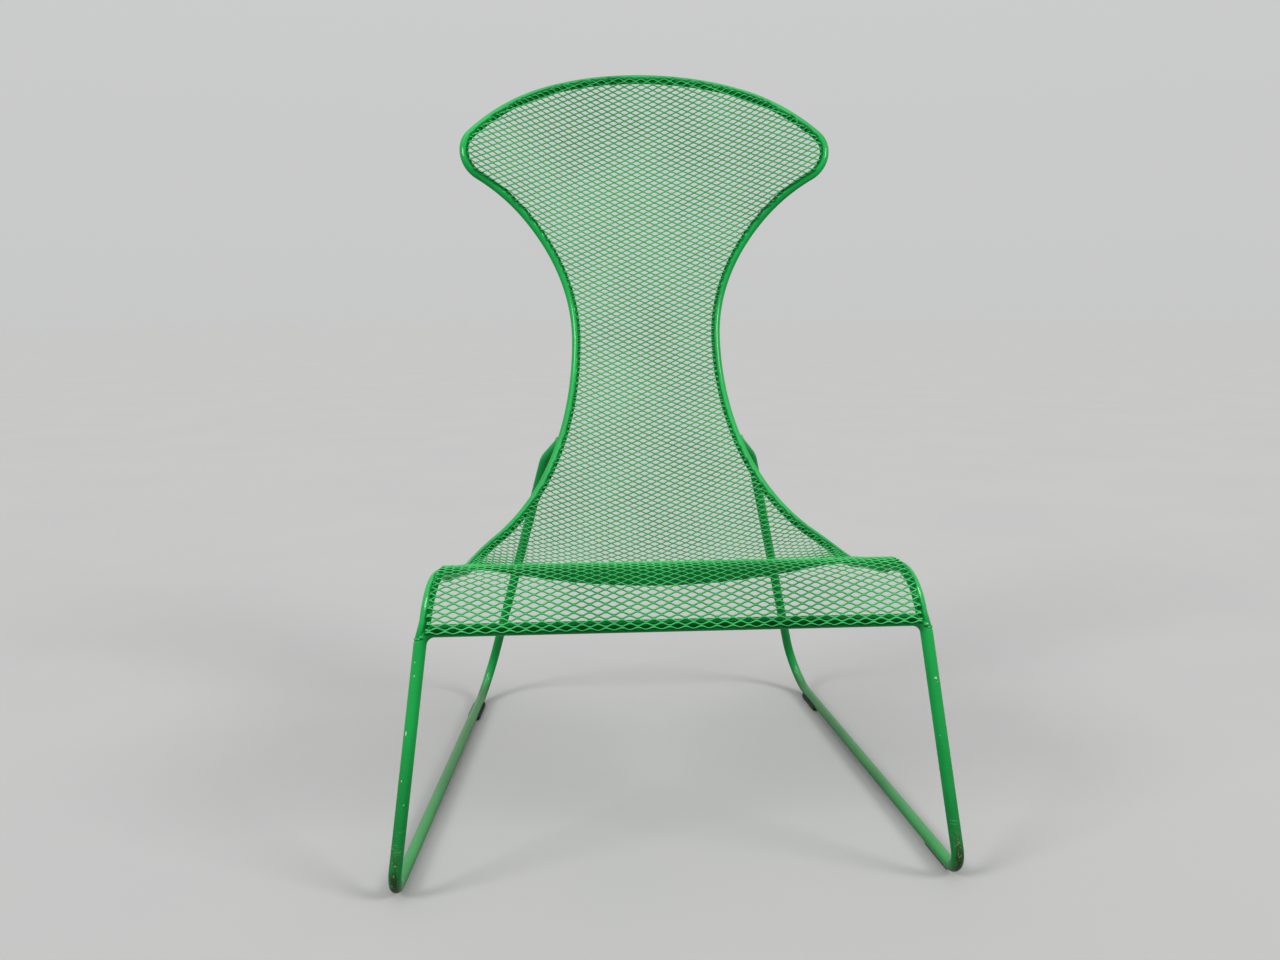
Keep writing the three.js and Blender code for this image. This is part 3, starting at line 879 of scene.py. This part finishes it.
def worn_coat(name):
    """The base rod's coat: chipped front legs, rubbed feet, painted shade low on the front legs,
    grimy runners with painted shade underneath.
    """
    paint, colour, roughness, normal = green_coat(name, GREEN, 0.15, 0.28, 0.2)
    chips = chip_marks(paint)
    colour = paint.mix(chips, colour, CHIP)

    # Both front feet share one pattern of wear, mirrored by the size of X
    x, y, z = paint.parts(paint.where)
    across = paint.math("ABSOLUTE", x)
    folded = paint.add("ShaderNodeCombineXYZ", {"X": across, "Y": y, "Z": z}).outputs[0]
    foot = (FRONT_FOOT[0] * MM, (FRONT_FOOT[1] + PLAN_SHIFT) * MM, 0.018)
    reach = paint.ramp(paint.distance(foot, folded), 0.014, 0.05, 1.0, 0.0)
    ahead = paint.ramp(y, foot[1] + 0.012, foot[1] + 0.001, 0.0, 1.0)
    near_foot = paint.product(reach, ahead)

    # A stripe down the front of the leg, which leans outwards, wears most
    splay = (FRONT_FOOT[0] - RAIL_X) / (RAIL_Z - RUNNER_Z)
    aside = paint.math("ADD", across, paint.product(z, splay))
    aside = paint.math("ABSOLUTE", paint.math("SUBTRACT", aside, foot[0] + RUNNER_Z * MM * splay))
    stripe = paint.ramp(aside, 0.0048, 0.0012, 0.0, 1.0)
    drawn_out = paint.vector("MULTIPLY", paint.where, BLOTCHES)
    blotch = paint.noise(1.0, 4.0, 0.65, drawn_out)
    likely = paint.math("ADD", blotch, paint.product(stripe, 0.24))
    worn = paint.product(near_foot, paint.ramp(likely, 0.56, 0.72, 0.0, 0.85))

    # The leg gets painted shade, darker towards the foot, and the worn patch carries pale specks
    lower_leg_shade = paint.product(
        paint.ramp(z, 0.013, 0.024),
        paint.ramp(z, 0.15, 0.035, 0.0, 0.55),
        paint.ramp(y, -0.15, -0.25),
    )
    colour = paint.mix(lower_leg_shade, colour, LOWER_LEG_SHADE)
    colour = paint.mix(worn, colour, RUBBED)
    speck = paint.ramp(paint.noise(SPECKS, 3.0, 0.6, drawn_out), 0.61, 0.65)
    colour = paint.mix(paint.product(near_foot, stripe, speck), colour, SPECK)

    # Fine scratches go round the leg in a band above the foot
    scratches = paint.vector("MULTIPLY", paint.where, SCRATCHES)
    lines = paint.ramp(paint.noise(1.0, vector=scratches), 0.62, 0.7, 0.0, 0.35)
    band = paint.product(paint.ramp(z, 0.045, 0.06), paint.ramp(z, 0.07, 0.085, 1.0, 0.0), ahead)
    colour = paint.mix(paint.product(lines, band), colour, CHIP)

    # The runners are dirty, more so towards the rear, and get painted shade underneath
    low_down = paint.ramp(z, 0.03, 0.017, 0.0, 0.55)
    trodden = paint.product(low_down, paint.ramp(y, -0.29, 0.1, 0.45, 1.0))
    colour = paint.mix(trodden, colour, TRODDEN)
    # Painted shade on the runners' undersides
    underside_shade = paint.ramp(paint.facing_up(), -0.15, -0.75, 0.0, 0.75)
    colour = paint.mix(paint.product(underside_shade, paint.ramp(z, 0.03, 0.015)), colour, RUNNER_UNDERSIDE_SHADE)

    roughness = paint.math("ADD", roughness, paint.product(worn, 0.35))
    hollow = paint.math("SUBTRACT", 1.0, paint.math("MAXIMUM", worn, chips))
    return rod_coat(paint, colour, roughness, paint.bump(hollow, 0.4, 0.0003, normal))


def shaded_weld(name):
    """Glossy coat over weld metal, with painted shade where the bead overhangs and faces down."""
    paint, colour, roughness, normal = green_coat(name, GREEN, 0.04, 0.2)
    # Painted shade on the bead's downward faces
    colour = paint.mix(paint.ramp(paint.facing_up(), 0.1, -0.5, 0.0, 0.9), colour, PAINTED_SHADE)
    return finish_coat(paint, colour, roughness, normal, coat=0.6)


def rubber(name):
    """Black glide rubber, scuffed and dusty."""
    paint = Paint(name)
    cloud = paint.noise(RUBBER_CLOUD, 4.0, 0.65)
    grain = paint.noise(RUBBER_GRAIN)
    colour = paint.mix(paint.ramp(cloud, 0.35, 0.7), RUBBER, RUBBER_PALE)
    sole = paint.ramp(paint.parts(paint.where)["Z"], 0.002, 0.0)
    scuff = paint.product(sole, paint.ramp(grain, 0.45, 0.6), 0.5)
    colour = paint.mix(scuff, colour, SCUFF)
    paint.set(Base_Color=colour, Roughness=paint.ramp(cloud, 0.3, 0.7, 0.6, 0.85))
    paint.set(Normal=paint.bump(grain, 0.3, 0.0002), Specular_IOR_Level=0.3)
    return paint.material


def paper(name, tone):
    """Pale studio floor with a barely uneven tone."""
    paint = Paint(name)
    light = tuple(tone * c for c in FLOOR_LIGHT) + (1,)
    shade = tuple(tone * c for c in FLOOR_SHADE) + (1,)
    cloud = paint.ramp(paint.noise(FLOOR_CLOUD, 4.0, 0.6), 0.3, 0.7)
    paint.set(Base_Color=paint.mix(cloud, shade, light), Roughness=1.0, Specular_IOR_Level=0.0)
    return paint.material


base_rod.data.materials.append(worn_coat("green_coat_worn"))
rim_rod.data.materials.append(rod_coat(*green_coat("green_coat", GREEN, 0.03, 0.26)))
net_coat = finish_coat(*green_coat("green_coat_net", NET_GREEN, 0.15, 0.36))
sheet.data.materials.append(net_coat)
tack_welds.data.materials.append(net_coat)
weld_coat = shaded_weld("green_coat_weld")
for piece, _ in beads:
    piece.data.materials.append(weld_coat)
pad_rubber = rubber("black_rubber")
for piece, _ in glides:
    piece.data.materials.append(pad_rubber)


# Floor, as bright under the surrounding and the suns as the horizon that it meets. The chair
# neither mirrors it nor takes its bounce, which keeps the undersides as dark as photographed.

sun_on_floor = 0.0
for _, tilt, _, power, _, lit in SUNS:
    if lit != "chair":
        sun_on_floor += power * math.cos(math.radians(tilt)) / math.pi
floor_tone = HORIZON / (HORIZON + (OVERHEAD - HORIZON) * 2 / 3 + sun_on_floor)

far = FLOOR_REACH
floor_mesh = bpy.data.meshes.new("floor")
floor_corners = [(-far, -far, 0), (far, -far, 0), (far, far, 0), (-far, far, 0)]
floor_mesh.from_pydata(floor_corners, [], [(0, 1, 2, 3)])
floor_mesh.materials.append(paper("floor_paper", floor_tone))
floor = add_object("floor", floor_mesh)
floor.visible_diffuse = False
floor.visible_glossy = False


# Surrounding, graded by the height of the view direction

world = bpy.data.worlds.new("studio")
bpy.context.scene.world = world
world.use_nodes = True
tree = world.node_tree
direction = tree.nodes.new("ShaderNodeTexCoord").outputs["Generated"]
split = tree.nodes.new("ShaderNodeSeparateXYZ")
tree.links.new(direction, split.inputs[0])


def graded(lowest, highest, dark, bright):
    """Brightness of the surrounding between two heights of the view direction."""
    node = tree.nodes.new("ShaderNodeMapRange")
    tree.links.new(split.outputs["Z"], node.inputs["Value"])
    ends = {"From Min": lowest, "From Max": highest, "To Min": dark, "To Max": bright}
    for key, value in ends.items():
        node.inputs[key].default_value = value
    return node.outputs["Result"]


total = tree.nodes.new("ShaderNodeMath")
tree.links.new(graded(-0.3, -0.03, BELOW, HORIZON), total.inputs[0])
tree.links.new(graded(0.0, 1.0, 0.0, OVERHEAD - HORIZON), total.inputs[1])
tree.links.new(total.outputs["Value"], tree.nodes["Background"].inputs["Strength"])
tree.nodes["Background"].inputs["Color"].default_value = SKY


# Lamps: two wide soft suns for everything, two low ones that give the floor the legs' soft
# shadows, and a top sun with two soft boxes, high in front, that give the chair its highlights

chair = bpy.data.collections.new("chair")
for piece in [base_rod, rim_rod, sheet, tack_welds, *(p for p, _ in beads + glides)]:
    chair.objects.link(piece)
ground = bpy.data.collections.new("ground")
ground.objects.link(floor)
RECEIVERS = {"all": None, "floor": ground, "chair": chair}


def lamp(name, kind, power, lit):
    """A lamp that lights everything, the floor alone or the chair alone."""
    data = bpy.data.lights.new(name, kind)
    data.energy = power
    made = add_object(name, data)
    if RECEIVERS[lit]:
        made.light_linking.receiver_collection = RECEIVERS[lit]
    return made


for name, tilt, azimuth, power, width, lit in SUNS:
    sun = lamp(name, "SUN", power, lit)
    sun.data.angle = math.radians(width)
    sun.rotation_euler = (math.radians(tilt), 0, math.radians(azimuth))

for name, place, power in BOXES:
    box = lamp(name, "AREA", power, "chair")
    box.data.shape = "RECTANGLE"
    box.data.size = box.data.size_y = BOX_SIZE
    box.visible_camera = False
    box.location = place
    box.rotation_euler = (BOX_AIM - box.location).to_track_quat("-Z", "Y").to_euler()


# Camera and view transform; the default transform would wash out the strong green

bpy.context.scene.view_settings.view_transform = "Standard"

camera_data = bpy.data.cameras.new("camera")
camera_data.sensor_width = SENSOR
camera_data.lens = SENSOR * FOCAL
camera = add_object("camera", camera_data)
pan, tilt, roll = [math.radians(a) for a in CAMERA_TURNS]
camera.matrix_world = (
    Matrix.Translation(CAMERA_PLACE)
    @ Matrix.Rotation(pan, 4, "Z")
    @ Matrix.Rotation(tilt, 4, "X")
    @ Matrix.Rotation(roll, 4, "Z")
)
bpy.context.scene.camera = camera
